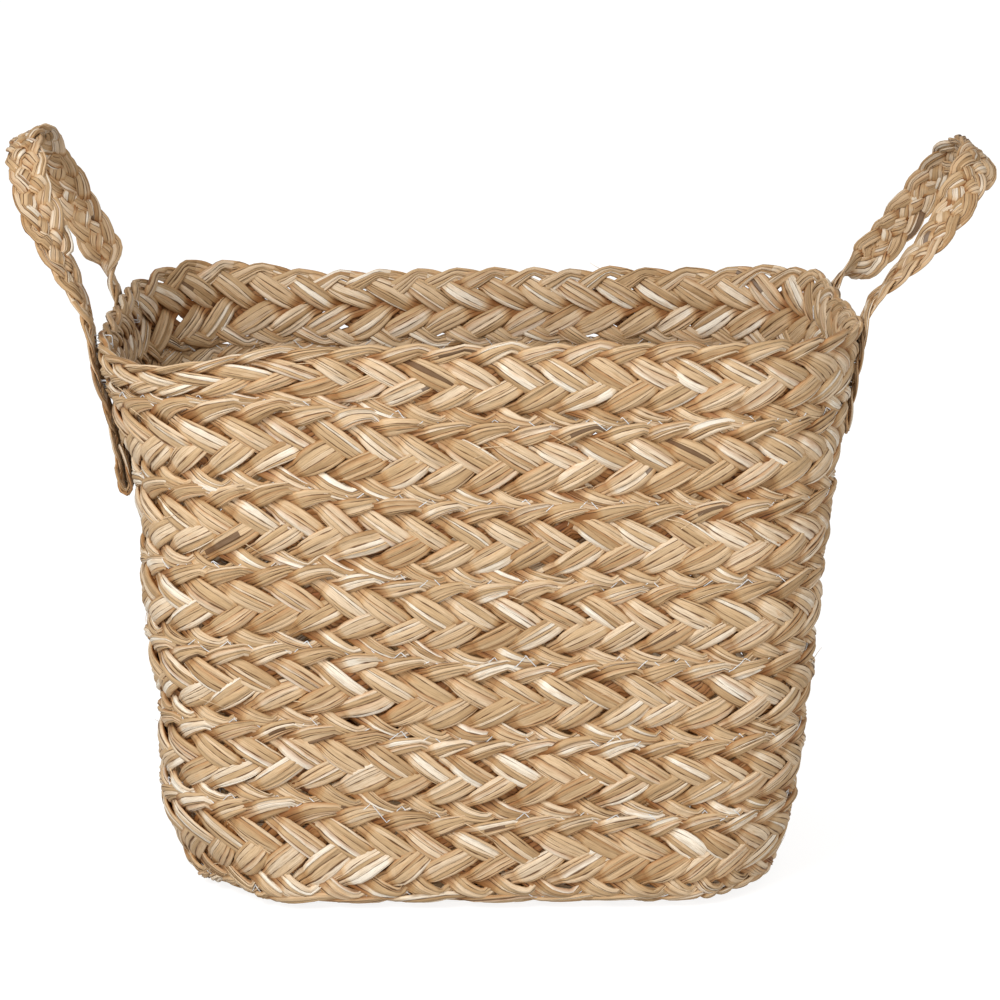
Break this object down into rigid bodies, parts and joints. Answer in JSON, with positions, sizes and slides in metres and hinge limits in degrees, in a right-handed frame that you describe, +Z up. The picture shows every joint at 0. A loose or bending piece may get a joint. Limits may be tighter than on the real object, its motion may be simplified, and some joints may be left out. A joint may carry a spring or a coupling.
{
  "type": "seagrass storage basket",
  "caption": "Rectangular coiled basket of flat plaited seagrass, flared open top, rounded corners and foot, two soft plaited loop handles on its ends.",
  "frame": {"origin": "centre of the underside, on the floor", "axes": "+X towards the right handle, along the rim's long side; +Y towards the back; +Z up"},
  "size_m": [0.4611, 0.239, 0.3551],
  "materials": {
    "seagrass": "matte plaited dry seagrass, straw to tan",
    "handle_seagrass": "matte plaited dry seagrass, slightly darker",
    "thread": "clear-white nylon sewing thread"
  },
  "bodies": {
    "root": {"base_core": "seagrass", "base_turn_1": "seagrass", "base_turn_2": "seagrass", "wall_course_1": "seagrass", "wall_course_2": "seagrass", "wall_course_3": "seagrass", "wall_course_4": "seagrass", "wall_course_5": "seagrass", "wall_course_6": "seagrass", "wall_course_7": "seagrass", "base_seam_1": "thread", "base_seam_2": "thread", "foot_seam": "thread", "wall_seam_1": "thread", "wall_seam_2": "thread", "wall_seam_3": "thread", "wall_seam_4": "thread", "wall_seam_5": "thread", "wall_seam_6": "thread", "handle_left_front_tail": "handle_seagrass", "handle_left_back_tail": "handle_seagrass", "handle_right_front_tail": "handle_seagrass", "handle_right_back_tail": "handle_seagrass", "handle_left_front_stitches": "thread", "handle_left_back_stitches": "thread", "handle_right_front_stitches": "thread", "handle_right_back_stitches": "thread"},
    "handle_left": {"handle_left_loop": "handle_seagrass"},
    "handle_right": {"handle_right_loop": "handle_seagrass"}
  },
  "joints": [
    {"name": "handle_left_fold", "type": "hinge", "parent": "root", "child": "handle_left", "pos_m": [-0.1786, 0, 0.276], "axis": [0, -1, 0], "range_deg": [-113, 120]},
    {"name": "handle_right_fold", "type": "hinge", "parent": "root", "child": "handle_right", "pos_m": [0.1786, 0, 0.276], "axis": [0, 1, 0], "range_deg": [-128, 105]}
  ]
}
